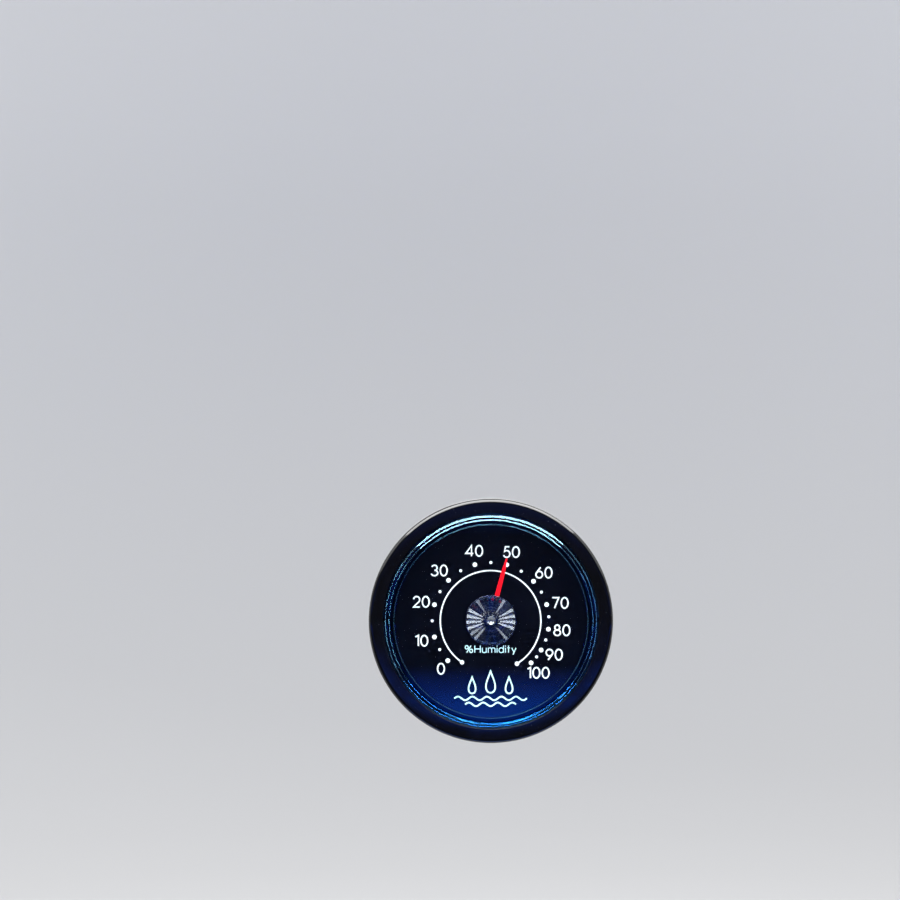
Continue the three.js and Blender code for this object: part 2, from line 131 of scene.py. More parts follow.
class Tree:
    """A material's node tree, with a few short ways to add to it."""

    def __init__(self, name):
        self.material = bpy.data.materials.new(name)
        self.material.use_nodes = True
        self.nodes = self.material.node_tree.nodes
        self.links = self.material.node_tree.links
        self.nodes.clear()
        self.output = self.nodes.new("ShaderNodeOutputMaterial")
        self.where = self.nodes.new("ShaderNodeTexCoord").outputs["Object"]

    def link(self, source, target):
        self.links.new(source, target)
        return source

    def stretched(self, x, y, z):
        """Object coordinates scaled along each axis, for a grain with a direction."""
        mapping = self.nodes.new("ShaderNodeMapping")
        mapping.inputs["Scale"].default_value = (x, y, z)
        self.link(self.where, mapping.inputs["Vector"])
        return mapping.outputs["Vector"]

    def noise(self, per_metre, detail=3, roughness=0.55, where=None, distortion=0):
        """Cloudy values about 0.5, with so many features to the metre."""
        node = self.nodes.new("ShaderNodeTexNoise")
        node.inputs["Scale"].default_value = per_metre
        node.inputs["Detail"].default_value = detail
        node.inputs["Roughness"].default_value = roughness
        node.inputs["Distortion"].default_value = distortion
        self.link(where or self.where, node.inputs["Vector"])
        return node.outputs["Fac"]

    def specks(self, per_metre, radius):
        """1 inside small scattered spots and 0 elsewhere."""
        node = self.nodes.new("ShaderNodeTexVoronoi")
        node.inputs["Scale"].default_value = per_metre
        self.link(self.where, node.inputs["Vector"])
        return self.ramp(node.outputs["Distance"], (radius * 0.6, 1), (radius, 0))

    def ramp(self, source, low, high):
        """Maps source from low[0]..high[0] to low[1]..high[1], clamped."""
        node = self.nodes.new("ShaderNodeMapRange")
        for socket, value in zip(("From Min", "From Max", "To Min", "To Max"),
                                 (low[0], high[0], low[1], high[1])):
            node.inputs[socket].default_value = value
        self.link(source, node.inputs["Value"])
        return node.outputs["Result"]

    def maths(self, operation, a, b):
        """Result of an operation on two outputs or numbers."""
        node = self.nodes.new("ShaderNodeMath")
        node.operation = operation
        for socket, value in zip(node.inputs, (a, b)):
            if isinstance(value, (int, float)):
                socket.default_value = value
            else:
                self.link(value, socket)
        return node.outputs["Value"]

    def colours(self, factor, first, second):
        return colour_mix(self.material.node_tree, factor, first, second)

    def bump(self, height, strength, distance=0.05 * MM, after=None):
        """Normal of a bumpy surface, laid over another bump if one is given."""
        node = self.nodes.new("ShaderNodeBump")
        node.inputs["Strength"].default_value = strength
        node.inputs["Distance"].default_value = distance
        self.link(height, node.inputs["Height"])
        if after is not None:
            self.link(after, node.inputs["Normal"])
        return node.outputs["Normal"]

    def principled(self, colour, roughness, normal=None, **values):
        """The finished material. values are set on the sockets, such as Metallic=1."""
        node = self.nodes.new("ShaderNodeBsdfPrincipled")
        for name, value in values.items():
            node.inputs[name.replace("_", " ")].default_value = value
        self.link(colour, node.inputs["Base Color"])
        self.link(roughness, node.inputs["Roughness"])
        if normal is not None:
            self.link(normal, node.inputs["Normal"])
        self.link(node.outputs["BSDF"], self.output.inputs["Surface"])
        return self.material


def gloss_black():
    """Polished injection-moulded black, with faint smears, dust and a little waviness."""
    t = Tree("gloss_black")
    smears = t.noise(220, detail=5, distortion=0.6)
    dust = t.maths("MULTIPLY", t.specks(900, 0.1), t.ramp(t.noise(160), (0.5, 0), (0.62, 1)))
    colour = t.colours(dust, t.colours(smears, (0.004, 0.004, 0.005), (0.008, 0.008, 0.01)),
                       (0.1, 0.1, 0.1))
    roughness = t.maths("ADD", t.ramp(smears, (0.35, 0.05), (0.7, 0.11)), t.maths("MULTIPLY", dust, 0.4))
    waves = t.bump(t.noise(70, detail=1), 0.12, 0.3 * MM)
    normal = t.bump(t.noise(5000, detail=2), 0.04, 0.02 * MM, after=waves)
    return t.principled(colour, roughness, normal, IOR=1.5)


def satin_black():
    """Spark-textured moulded black of the rear case, rubbed a little shinier in patches."""
    t = Tree("satin_black")
    blotches = t.noise(130, detail=4)
    grain = t.noise(7000, detail=2, roughness=0.7)
    rubbed = t.ramp(t.noise(300, detail=3), (0.58, 0), (0.7, 1))
    colour = t.colours(rubbed, t.colours(blotches, (0.008, 0.008, 0.009), (0.014, 0.014, 0.016)),
                       (0.02, 0.02, 0.022))
    roughness = t.maths("SUBTRACT", t.ramp(blotches, (0.3, 0.38), (0.7, 0.5)),
                        t.maths("MULTIPLY", rubbed, 0.08))
    return t.principled(colour, roughness, t.bump(grain, 0.35, 0.03 * MM), IOR=1.5)


def dial_paint():
    """Matt black dial paint with a fine pebble and a slight blue cast."""
    t = Tree("dial_paint")
    cloud = t.noise(90, detail=3)
    pebble = t.noise(9000, detail=1)
    colour = t.colours(cloud, (0.0012, 0.0014, 0.003), (0.002, 0.0025, 0.006))
    roughness = t.ramp(pebble, (0.35, 0.45), (0.65, 0.6))
    return t.principled(colour, roughness, t.bump(pebble, 0.12, 0.02 * MM), Specular_IOR_Level=0.004)


def printing(name, white, worn):
    """Screen-printed ink: nearly even, with thin places and a soft tooth."""
    t = Tree(name)
    cover = t.noise(2600, detail=4, roughness=0.65)
    colour = t.colours(t.ramp(cover, (0.34, 1), (0.5, 0)), white, worn)
    roughness = t.ramp(cover, (0.3, 0.62), (0.7, 0.45))
    return t.principled(colour, roughness, t.bump(cover, 0.1, 0.01 * MM))


def pointer_paint():
    """Fluorescent red paint on a thin blade."""
    t = Tree("pointer_paint")
    flow = t.noise(700, detail=3)
    colour = t.colours(flow, (0.8, 0.001, 0.006), (0.98, 0.004, 0.014))
    roughness = t.ramp(t.noise(3500), (0.3, 0.4), (0.7, 0.55))
    return t.principled(colour, roughness, t.bump(t.noise(5200, detail=2), 0.12, 0.01 * MM),
                        Specular_IOR_Level=0.06)


def metal(name, dark, light, rough_low, rough_high, grain, scratch=0.12):
    """Drawn or turned metal with a directional grain and faint tarnish."""
    t = Tree(name)
    tarnish = t.noise(450, detail=4)
    lines = t.noise(1, detail=2, where=t.stretched(*grain))
    colour = t.colours(tarnish, dark, light)
    roughness = t.maths("ADD", t.ramp(tarnish, (0.3, rough_high), (0.7, rough_low)),
                        t.ramp(lines, (0.3, 0), (0.7, 0.08)))
    return t.principled(colour, roughness, t.bump(lines, scratch, 0.01 * MM), Metallic=1)


def painted_reflection_rim_tint(t, inner, start, outer, fade=0.3 * MM):
    """Colour that turns from inner to outer at a radius from the dial's axis; here it paints the window
    rim's blue tint, a painted reflection of the blue light below.
    """
    radius = t.nodes.new("ShaderNodeVectorMath")
    radius.operation = "LENGTH"
    t.link(t.stretched(1, 0, 1), radius.inputs[0])
    return t.colours(t.ramp(radius.outputs["Value"], (start - fade, 0), (start + fade, 1)), inner, outer)


def clear_plastic(name, tint, smear_strength, polish=0.0, rim=None):
    """Clear moulded plastic. Lamp light passes through it, so what lies behind is lit.

    polish is the share of extra surface gloss. rim is the (radius, colour) of an outer rim tinted that
    colour, a painted reflection of the blue light that lies below the gauge.
    """
    t = Tree(name)
    smears = t.noise(160, detail=5, distortion=0.8)
    glass = t.nodes.new("ShaderNodeBsdfGlass")
    glass.inputs["IOR"].default_value = 1.49
    glass.inputs["Color"].default_value = (*tint, 1)
    # The rim's tint colours the clear glass blue: a painted reflection of the blue light below.
    if rim:
        t.link(painted_reflection_rim_tint(t, tint, *rim), glass.inputs["Color"])
    t.link(t.ramp(smears, (0.45, 0.004), (0.75, smear_strength)), glass.inputs["Roughness"])
    t.link(t.bump(t.noise(55, detail=1), 0.02, 0.2 * MM), glass.inputs["Normal"])
    gloss = t.nodes.new("ShaderNodeBsdfGlossy")
    gloss.inputs["Roughness"].default_value = 0.03
    polished = t.nodes.new("ShaderNodeMixShader")
    polished.inputs["Fac"].default_value = polish
    t.link(glass.outputs["BSDF"], polished.inputs[1])
    t.link(gloss.outputs["BSDF"], polished.inputs[2])
    through = t.nodes.new("ShaderNodeBsdfTransparent")
    through.inputs["Color"].default_value = (*tint, 1)
    mix = t.nodes.new("ShaderNodeMixShader")
    t.link(t.nodes.new("ShaderNodeLightPath").outputs["Is Shadow Ray"], mix.inputs["Fac"])
    t.link(polished.outputs["Shader"], mix.inputs[1])
    t.link(through.outputs["BSDF"], mix.inputs[2])
    t.link(mix.outputs["Shader"], t.output.inputs["Surface"])
    return t.material


def nylon(name, dark, light, sheen):
    """Black nylon of the fastener's hooks and loops, with lint caught in it."""
    t = Tree(name)
    thread = t.noise(2400, detail=3)
    lint = t.ramp(t.noise(1300, detail=5), (0.66, 0), (0.72, 1))
    colour = t.colours(lint, t.colours(thread, dark, light), (0.16, 0.155, 0.15))
    roughness = t.ramp(thread, (0.3, 0.5), (0.7, 0.75))
    return t.principled(colour, roughness, t.bump(thread, 0.4, 0.03 * MM), Sheen_Weight=sheen)


def adhesive_film():
    """Off-white acrylic foam film, slightly cloudy."""
    t = Tree("adhesive_film")
    cloud = t.noise(600, detail=4)
    bubbles = t.specks(2500, 0.25)
    colour = t.colours(cloud, (0.62, 0.6, 0.53), (0.78, 0.76, 0.7))
    roughness = t.ramp(cloud, (0.3, 0.4), (0.7, 0.6))
    return t.principled(colour, roughness, t.bump(bubbles, 0.2, 0.03 * MM),
                        Subsurface_Weight=0.2, Subsurface_Scale=0.0005)


def studio_grey():
    """Pale grey wall, and a floor that is a little darker since more light falls on it."""
    t = Tree("studio_grey")
    cloud = t.noise(3, detail=2)
    axes = t.nodes.new("ShaderNodeSeparateXYZ")
    t.link(t.where, axes.inputs["Vector"])
    wall = t.ramp(axes.outputs["Z"], (FLOOR, 0), (FLOOR + BEND_R, 1))
    pale = t.colours(cloud, (0.9, 0.91, 0.91), (0.94, 0.94, 0.93))
    colour = t.colours(wall, (0.56, 0.56, 0.565), pale)
    return t.principled(colour, t.ramp(cloud, (0.3, 0.75), (0.7, 0.85)))


GLOSS = gloss_black()
SATIN = satin_black()
DIAL = dial_paint()
WHITE_INK = printing("white_ink", (0.9, 0.93, 0.93), (0.6, 0.63, 0.65))
MINT_INK = printing("mint_ink", (0.62, 0.88, 0.84), (0.36, 0.6, 0.6))
RED = pointer_paint()
STEEL = metal("steel", (0.5, 0.5, 0.52), (0.66, 0.67, 0.69), 0.2, 0.34, (900, 9000, 900))
POLISHED = metal("polished_steel", (0.5, 0.5, 0.52), (0.66, 0.67, 0.69), 0.06, 0.12, (900, 900, 900), 0.04)
BRASS = metal("brass", (0.52, 0.36, 0.13), (0.74, 0.55, 0.25), 0.24, 0.4, (9000, 900, 900))
BLUED = metal("blued_steel", (0.012, 0.015, 0.04), (0.03, 0.036, 0.085), 0.26, 0.4, (9000, 900, 900))
STRIP = metal("sensing_strip", (0.04, 0.045, 0.11), (0.1, 0.11, 0.24), 0.24, 0.38, (700, 12000, 700))
# The window's outer rim is tinted blue as a painted reflection of the blue light below; the rest is clear.
WINDOW = clear_plastic("window_plastic", (0.975, 0.99, 0.99), 0.02, rim=(29.2 * MM, (0.45, 0.79, 1)))
CAP = clear_plastic("cap_plastic", (0.58, 0.66, 0.88), 0.02, polish=0.17)
HOOK_NYLON = nylon("hook_nylon", (0.008, 0.008, 0.009), (0.02, 0.02, 0.022), 0.1)
LOOP_NYLON = nylon("loop_nylon", (0.01, 0.01, 0.011), (0.03, 0.03, 0.033), 0.5)
ADHESIVE = adhesive_film()


# ---------------- mesh tools

SHARP = math.radians(32)  # edges bent by more than this stay sharp


def placed(name, data):
    """Object of a mesh, curve, lamp or camera, put in the scene."""
    obj = bpy.data.objects.new(name, data)
    bpy.context.scene.collection.objects.link(obj)
    return obj


def piece(name, mesh, body, material, stands_for=()):
    """Adds a mesh as a smooth piece that rides on a body."""
    solid = bmesh.new()
    solid.from_mesh(mesh)
    bmesh.ops.remove_doubles(solid, verts=solid.verts, dist=1e-7)
    bmesh.ops.recalc_face_normals(solid, faces=solid.faces)
    solid.to_mesh(mesh)
    solid.free()
    mesh.polygons.foreach_set("use_smooth", [True] * len(mesh.polygons))
    mesh.set_sharp_from_angle(angle=SHARP)
    obj = placed(name, mesh)
    mesh.materials.clear()
    mesh.materials.append(material)
    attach(obj, body)
    flats = obj.modifiers.new("flats", "WEIGHTED_NORMAL")  # keeps flat faces flat beside round edges
    flats.keep_sharp = True
    if stands_for:
        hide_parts(*stands_for)
    return obj


def joined(*meshes):
    """One mesh of several, which may touch."""
    whole = bmesh.new()
    for mesh in meshes:
        whole.from_mesh(mesh)
    result = bpy.data.meshes.new(meshes[0].name)
    whole.to_mesh(result)
    whole.free()
    return result


def filleted(corners, closed, steps=6):
    """Profile whose corners (radius, depth, rounding) become arcs of that rounding."""
    points = []
    count = len(corners)
    for i, (r, depth, rounding) in enumerate(corners):
        here = Vector((r, depth))
        if rounding <= 0 or (not closed and i in (0, count - 1)):
            points.append(here)
            continue
        before = Vector(corners[i - 1][:2]) - here
        after = Vector(corners[(i + 1) % count][:2]) - here
        half = before.angle(after) / 2
        reach = min(rounding / math.tan(half), 0.49 * before.length, 0.49 * after.length)
        radius = reach * math.tan(half)
        centre = here + (before.normalized() + after.normalized()).normalized() * (radius / math.sin(half))
        first = here + before.normalized() * reach - centre
        last = here + after.normalized() * reach - centre
        turn = first.angle_signed(last)
        points += [centre + Matrix.Rotation(-turn * k / steps, 2) @ first for k in range(steps + 1)]
    return [(p.x, p.y) for p in points]


def turned(name, profile, closed=True, steps=ROUND):
    """Mesh of a profile of (radius, depth) points spun about the dial's axis."""
    verts = []
    for k in range(steps):
        angle = 2 * math.pi * k / steps
        verts += [(r * math.sin(angle), -depth, r * math.cos(angle)) for r, depth in profile]
    count = len(profile)
    spans = count if closed else count - 1
    faces = []
    for k in range(steps):
        for i in range(spans):
            j = (i + 1) % count
            here, there = k * count, ((k + 1) % steps) * count
            faces.append((here + i, here + j, there + j, there + i))
    mesh = bpy.data.meshes.new(name)
    mesh.from_pydata(verts, [], faces)
    shape = bmesh.new()
    shape.from_mesh(mesh)
    bmesh.ops.remove_doubles(shape, verts=shape.verts, dist=1e-8)
    bmesh.ops.dissolve_degenerate(shape, edges=shape.edges, dist=1e-9)
    bmesh.ops.recalc_face_normals(shape, faces=shape.faces)
    shape.to_mesh(mesh)
    shape.free()
    return mesh


def plate(name, outlines, back, front, bevel=0.0, steps=2):
    """Flat plate between two depths. Outlines are closed lists of (x, z), the outer one first."""
    curve = bpy.data.curves.new(name, "CURVE")
    curve.dimensions = "2D"
    curve.fill_mode = "BOTH"
    curve.extrude = (front - back) / 2 - bevel
    curve.bevel_depth = bevel
    curve.bevel_resolution = steps
    curve.offset = -bevel
    for outline in outlines:
        spline = curve.splines.new("POLY")
        spline.points.add(len(outline) - 1)
        for point, (x, z) in zip(spline.points, outline):
            point.co = (x, z, 0, 1)
        spline.use_cyclic_u = True
    maker = placed(name, curve)
    mesh = bpy.data.meshes.new_from_object(maker.evaluated_get(bpy.context.evaluated_depsgraph_get()))
    bpy.data.objects.remove(maker)
    mesh.transform(Matrix.Translation((0, -(back + front) / 2, 0)) @ Matrix.Rotation(math.pi / 2, 4, "X"))
    return mesh


def cut(mesh, cutters, bevel=0.0):
    """A mesh less a list of closed meshes, with its new edges lightly bevelled."""
    body = placed("cut_body", mesh)
    tool = placed("cut_tool", joined(*cutters))
    boolean = body.modifiers.new("cut", "BOOLEAN")
    boolean.operation = "DIFFERENCE"
    boolean.solver = "EXACT"
    boolean.object = tool
    if bevel:
        edges = body.modifiers.new("edges", "BEVEL")
        edges.width = bevel
        edges.segments = 2
        edges.limit_method = "ANGLE"
        edges.angle_limit = math.radians(50)
    result = bpy.data.meshes.new_from_object(body.evaluated_get(bpy.context.evaluated_depsgraph_get()))
    bpy.data.objects.remove(body)
    bpy.data.objects.remove(tool)
    return result


def block(name, low, high, bevel=0.0):
    """Box between two corners with its edges bevelled."""
    shape = bmesh.new()
    bmesh.ops.create_cube(shape, size=1)
    low, high = Vector(low), Vector(high)
    for vert in shape.verts:
        vert.co = (low + high) / 2 + vert.co * (high - low)
    if bevel:
        bmesh.ops.bevel(shape, geom=shape.edges, offset=bevel, segments=3, profile=0.6,
                        affect="EDGES", clamp_overlap=True)
    mesh = bpy.data.meshes.new(name)
    shape.to_mesh(mesh)
    shape.free()
    return mesh


def about_axis(mesh, angle):
    """The mesh turned clockwise about the dial's axis."""
    copy = mesh.copy()
    copy.transform(Matrix.Rotation(math.radians(angle), 4, "Y"))
    return copy


def polar(radius, angle):
    """(x, z) at a radius and a dial angle."""
    a = math.radians(angle)
    return radius * math.sin(a), radius * math.cos(a)


def ellipse(cx, cz, rx, rz, start, end, steps=20):
    """Points of an elliptic arc, with angles anticlockwise from +x."""
    turns = [math.radians(start + (end - start) * k / steps) for k in range(steps + 1)]
    return [(cx + rx * math.cos(t), cz + rz * math.sin(t)) for t in turns]


def rounded_square(side, corner, wobble=0.0):
    """Outline of a square with round corners, its edge wavering by wobble."""
    inner = side / 2 - corner
    points = []
    for cx, cz, start in ((1, 1, 0), (-1, 1, 90), (-1, -1, 180), (1, -1, 270)):
        points += ellipse(cx * inner, cz * inner, corner, corner, start, start + 90, 8)
    filled = []
    for i, (x, z) in enumerate(points):
        x2, z2 = points[(i + 1) % len(points)]
        pieces = max(1, round(math.hypot(x2 - x, z2 - z) / (0.8 * MM)))
        filled += [(x + (x2 - x) * k / pieces, z + (z2 - z) * k / pieces) for k in range(pieces)]
    shrink = [1 - wobble / side * (1 + math.sin(17 * math.atan2(z, x)) * math.cos(5 * math.atan2(z, x)))
              for x, z in filled]
    return [(x * s, z * s) for (x, z), s in zip(filled, shrink)]


# ---------------- housing

VENTS = 8
VENT_FROM, VENT_TO = 19.5 * MM, 28 * MM
VENT_WIDTH = 5 * MM
CASE_FLOOR = back_of("rear_case") + 2 * MM
CASE_BORE = 33 * MM
RIBS = 6
POSTS = 3
POST_R = 2.2 * MM
POSTS_AT_R = 11 * MM
WINDOW_GAPS = ((-121.5, -94), (-18, 22.6), (59.5, 84.5))  # dial angles of the gaps in the skirt
DIAL_HOLE_R = 7.1 * MM


def bezel():
    """Ring with a rounded outer edge and a thin lip over the window's flange."""
    back, front = back_of("bezel_ring"), BEZEL_FRONT
    bore, lip, lip_back = 34.9 * MM, 32.4 * MM, front - 1.6 * MM
    corners = [
        (bore, back, 0.2 * MM), (bore, lip_back, 0), (lip, lip_back, 0.1 * MM),
        (lip, front, 0.12 * MM), (BEZEL_R, front, 1.25 * MM), (BEZEL_R, back, 0.35 * MM),
    ]
    mesh = turned("bezel", filleted(corners, True))
    return piece("bezel", mesh, "gauge", GLOSS, ["bezel_ring"])


def case_cup():
    """Drafted cup with rounded edges, a step for the bezel and a ring of air slots."""
    back, front = back_of("rear_case"), front_of("rear_case")
    parting = back_of("bezel_ring") - 0.3 * MM
    side, spigot = radius_of("rear_case"), 34.4 * MM
    corners = [
        (0, back, 0), (side - 0.8 * MM, back, 1.4 * MM), (side, parting, 0.3 * MM),
        (spigot, parting, 0.1 * MM), (spigot, front, 0.2 * MM), (CASE_BORE, front, 0.2 * MM),
        (CASE_BORE - 0.3 * MM, CASE_FLOOR, 0.8 * MM), (0, CASE_FLOOR, 0),
    ]
    cup = turned("case", filleted(corners, False), closed=False)
    end_r = VENT_WIDTH / 2
    outline = ellipse(0, VENT_TO - end_r, end_r, end_r, 0, 180, 16)
    outline += ellipse(0, VENT_FROM + end_r, end_r, end_r, 180, 360, 16)
    vent = plate("vent", [outline], back - 1 * MM, CASE_FLOOR + 1 * MM)
    return cut(cup, [about_axis(vent, 360 / VENTS * i) for i in range(VENTS)], bevel=0.25 * MM)


def case_rib():
    """Rib at twelve o'clock that the dial rests on."""
    low = (-0.7 * MM, -back_of("dial_plate"), 29.5 * MM)
    high = (0.7 * MM, -(CASE_FLOOR - 0.5 * MM), CASE_BORE - 0.1 * MM)
    return block("rib", low, high, 0.15 * MM)


def screw_post():
    """Pillar at twelve o'clock that carries the bridge."""
    foot, top = CASE_FLOOR - 0.5 * MM, back_of("movement_bridge") - 0.02 * MM
    profile = filleted([(0, foot, 0), (POST_R, foot, 0), (POST_R, top, 0.2 * MM), (0, top, 0)], False)
    post = turned("post", profile, closed=False, steps=32)
    post.transform(Matrix.Translation((0, 0, POSTS_AT_R)))
    return post


def rear_case():
    """The cup with the ribs under the dial and the pillars of the bridge."""
    cup, rib, post = case_cup(), case_rib(), screw_post()
    ribs = [about_axis(rib, 30 + 360 / RIBS * i) for i in range(RIBS)]
    posts = [about_axis(post, 360 / POSTS * i) for i in range(POSTS)]
    return piece("case", joined(cup, *ribs, *posts), "gauge", SATIN, ["rear_case"])


def window():
    """Raised clear window with a stepped, rounded shoulder, a flange and a skirt with three air gaps."""
    flange_back = front_of("rear_case")
    flange_front = flange_back + 1.8 * MM
    flange, shoulder = radius_of("lens"), 32.1 * MM
    inner, skirt = 29.4 * MM, 31.2 * MM
    inside = LENS_FRONT - 1.6 * MM
    foot = DIAL_FRONT + 0.02 * MM
    corners = [
        (0, inside, 0), (inner, inside, 0.7 * MM), (inner, foot, 0.15 * MM), (skirt, foot, 0.15 * MM),
        (skirt, flange_back, 0), (flange, flange_back, 0.2 * MM), (flange, flange_front, 0.2 * MM),
        (shoulder, flange_front, 0),
    ]
    outer_round, step_round, step = 1.3 * MM, 0.8 * MM, 0.7 * MM
    ledge = shoulder - outer_round
    front = ellipse(ledge, LENS_FRONT - step - outer_round, outer_round, outer_round, 0, 90, 10)
    front += ellipse(ledge - step_round, LENS_FRONT - step, step_round, step, 0, 90, 8)
    front += [(0, LENS_FRONT)]
    mesh = turned("window", filleted(corners, False, steps=8) + front, closed=False)
    gaps = []
    for start, end in WINDOW_GAPS:
        angles = [start + (end - start) * k / 12 for k in range(13)]
        outline = [polar(skirt + MM, a) for a in angles] + [polar(inner - MM, a) for a in angles[::-1]]
        gaps.append(plate("gap", [outline], foot - MM, foot + 2.6 * MM))
    return piece("window", cut(mesh, gaps), "gauge", WINDOW, ["lens"])


def dial():
    """Flat disc with a hole under the cap."""
    back = back_of("dial_plate")
    corners = [(DIAL_HOLE_R, back, 0.1 * MM), (DIAL_R, back, 0.1 * MM), (DIAL_R, DIAL_FRONT, 0.15 * MM),
               (DIAL_HOLE_R, DIAL_FRONT, 0.2 * MM)]
    return piece("dial", turned("dial", filleted(corners, True)), "gauge", DIAL,
                 ["dial_plate"])


# ---------------- printing on the dial

def stroke(points, width, cyclic=False):
    """Closed outlines of a line of even width with mitred corners, as (x, z) quads."""
    count = len(points)
    sides = []
    for i, point in enumerate(points):
        here = Vector(point)
        before = Vector(points[i - 1 if cyclic else max(i - 1, 0)])
        after = Vector(points[(i + 1) % count if cyclic else min(i + 1, count - 1)])
        arriving = (here - before).normalized() if before != here else (after - here).normalized()
        leaving = (after - here).normalized() if after != here else arriving
        along = (arriving + leaving).normalized()
        across = Vector((-along.y, along.x))
        stretch = min(1 / max(along.dot(leaving), 0.35), 2.2)
        sides.append((here + across * (width / 2 * stretch), here - across * (width / 2 * stretch)))
    quads = []
    for i in range(count if cyclic else count - 1):
        (a, b), (c, d) = sides[i], sides[(i + 1) % count]
        quads.append([a, c, d, b])
    return quads


def dot(x, z, diameter, steps=32):
    """Outline of a round dot."""
    return [Vector(p) for p in ellipse(x, z, diameter / 2, diameter / 2, 0, 360 - 360 / steps, steps - 1)]


def print_on_dial(name, shapes, ink):
    """Thin ink piece made of flat closed shapes, lying on the dial."""
    verts, faces = [], []
    for order, shape in enumerate(shapes):
        first, count = len(verts), len(shape)
        for depth in (DIAL_FRONT + 0.002 * MM, DIAL_FRONT + INK + order * INK_STEP):
            verts += [(p.x, -depth, p.y - PRINT_DROP) for p in shape]
        front = [first + count + i for i in range(count)]
        faces.append(front)
        for i in range(count):
            j = (i + 1) % count
            faces.append((first + i, first + j, first + count + j, first + count + i))
    mesh = bpy.data.meshes.new(name)
    mesh.from_pydata(verts, [], faces)
    obj = placed(name, mesh)
    mesh.materials.append(ink)
    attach(obj, "gauge")


def print_scale():
    """The arc with its end dots, and the dots at each five and ten."""
    steps = 160
    arc = [polar(ARC_R, ARC_FROM + (ARC_TO - ARC_FROM) * k / steps) for k in range(steps + 1)]
    shapes = stroke(arc, ARC_LINE)
    shapes += [dot(*polar(ARC_R, angle), END_DOT) for angle in (ARC_FROM, ARC_TO)]
    shapes += [dot(*polar(DOT_R, angle), MAJOR_DOT) for angle in SCALE_ANGLES]
    for low, high in zip(SCALE_ANGLES, SCALE_ANGLES[1:]):
        shapes.append(dot(*polar(DOT_R, (low + high) / 2), MINOR_DOT))
    print_on_dial("print_scale", shapes, WHITE_INK)


# A glyph is its width and its strokes, as centre lines in a cell one unit high.
GLYPHS = {
    "0": (0.64, [ellipse(0.32, 0.5, 0.32, 0.5, 0, 360, 36)]),
    "1": (0.3, [[(0.02, 0.86), (0.3, 1), (0.3, 0)]]),
    "2": (0.62, [ellipse(0.31, 0.7, 0.29, 0.3, 172, -38, 18) + [(0.02, 0), (0.62, 0)]]),
    "3": (0.6, [ellipse(0.28, 0.75, 0.25, 0.25, 160, -88, 18),
                ellipse(0.28, 0.27, 0.31, 0.27, 88, -162, 18)]),
    "4": (0.7, [[(0.54, 0), (0.54, 1), (0, 0.26), (0.7, 0.26)]]),
    "5": (0.62, [[(0.56, 1), (0.19, 1), (0.1, 0.56)] + ellipse(0.3, 0.32, 0.31, 0.32, 124, -158, 20)]),
    "6": (0.64, [ellipse(0.32, 0.31, 0.31, 0.31, 0, 360, 32), [(0.44, 1), (0.06, 0.46)]]),
    "7": (0.6, [[(0, 1), (0.6, 1), (0.2, 0)]]),
    "8": (0.62, [ellipse(0.31, 0.76, 0.23, 0.24, 0, 360, 28), ellipse(0.31, 0.27, 0.3, 0.27, 0, 360, 30)]),
    "9": (0.64, [ellipse(0.32, 0.69, 0.31, 0.31, 0, 360, 32), [(0.2, 0), (0.58, 0.54)]]),
    "%": (0.95, [ellipse(0.2, 0.75, 0.19, 0.24, 0, 360, 24), ellipse(0.74, 0.25, 0.19, 0.24, 0, 360, 24),
                 [(0.2, 0), (0.72, 1)]]),
    "H": (0.68, [[(0, 0), (0, 1)], [(0.68, 0), (0.68, 1)], [(0, 0.52), (0.68, 0.52)]]),
    "u": (0.5, [[(0, 0.68), (0, 0.25)] + ellipse(0.25, 0.25, 0.25, 0.25, 180, 340, 12),
                [(0.5, 0.68), (0.5, 0)]]),
    "m": (0.84, [[(0, 0), (0, 0.68)], ellipse(0.21, 0.46, 0.21, 0.22, 180, 0, 12) + [(0.42, 0)],
                 ellipse(0.63, 0.46, 0.21, 0.22, 180, 0, 12) + [(0.84, 0)]]),
    "i": (0.0, [[(0, 0), (0, 0.68)], [(0, 0.86), (0, 1)]]),
    "d": (0.56, [ellipse(0.28, 0.34, 0.28, 0.34, 0, 360, 28), [(0.56, 0), (0.56, 1)]]),
    "t": (0.3, [[(0.14, 0), (0.14, 1)], [(0, 0.68), (0.3, 0.68)]]),
    "y": (0.52, [[(0, 0.68), (0.27, 0)], [(0.52, 0.68), (0.15, -0.28)]]),
}
LETTER_GAP = 0.24


def lettering(text, centre, height, line, width=None):
    """Outlines of a word in single-line letters, centred on (x, z)."""
    rise = height - line
    lengths = [GLYPHS[c][0] for c in text]
    total = sum(lengths) + LETTER_GAP * (len(text) - 1)
    across = (width - line) / total if width else rise
    left = centre[0] - total * across / 2
    shapes = []
    for letter, length in zip(text, lengths):
        for line_points in GLYPHS[letter][1]:
            placed = [(left + x * across, centre[1] - rise / 2 + z * rise) for x, z in line_points]
            round_trip = len(placed) > 3 and math.dist(placed[0], placed[-1]) < 1e-6
            shapes += stroke(placed[:-1] if round_trip else placed, line, round_trip)
        left += (length + LETTER_GAP) * across
    return shapes


def print_numbers():
    """The numbers 0 to 100; the first and last stand a little nearer the centre."""
    shapes = []
    for tens, angle in enumerate(NUMERAL_ANGLES):
        radius = {0: FIRST_NUMERAL_R, 10: LAST_NUMERAL_R}.get(tens, NUMERAL_R)
        shapes += lettering(str(10 * tens), polar(radius, angle), NUMERAL_HEIGHT, NUMERAL_LINE)
    print_on_dial("print_numbers", shapes, WHITE_INK)


def print_unit():
    """The generic unit label under the cap."""
    shapes = lettering("%Humidity", (0, -UNIT_DROP), UNIT_HEIGHT, UNIT_LINE, UNIT_WIDTH)
    print_on_dial("print_unit", shapes, MINT_INK)


def drop_outline(x, z, size):
    """Water drop: a point on top that runs smoothly into a round belly."""
    points = []
    for k in range(36):
        t = 2 * math.pi * k / 36
        points.append((x + 0.62 * size * math.sin(t) * math.sin(t / 2) ** 1.6,
                       z + size * math.cos(t)))
    return points


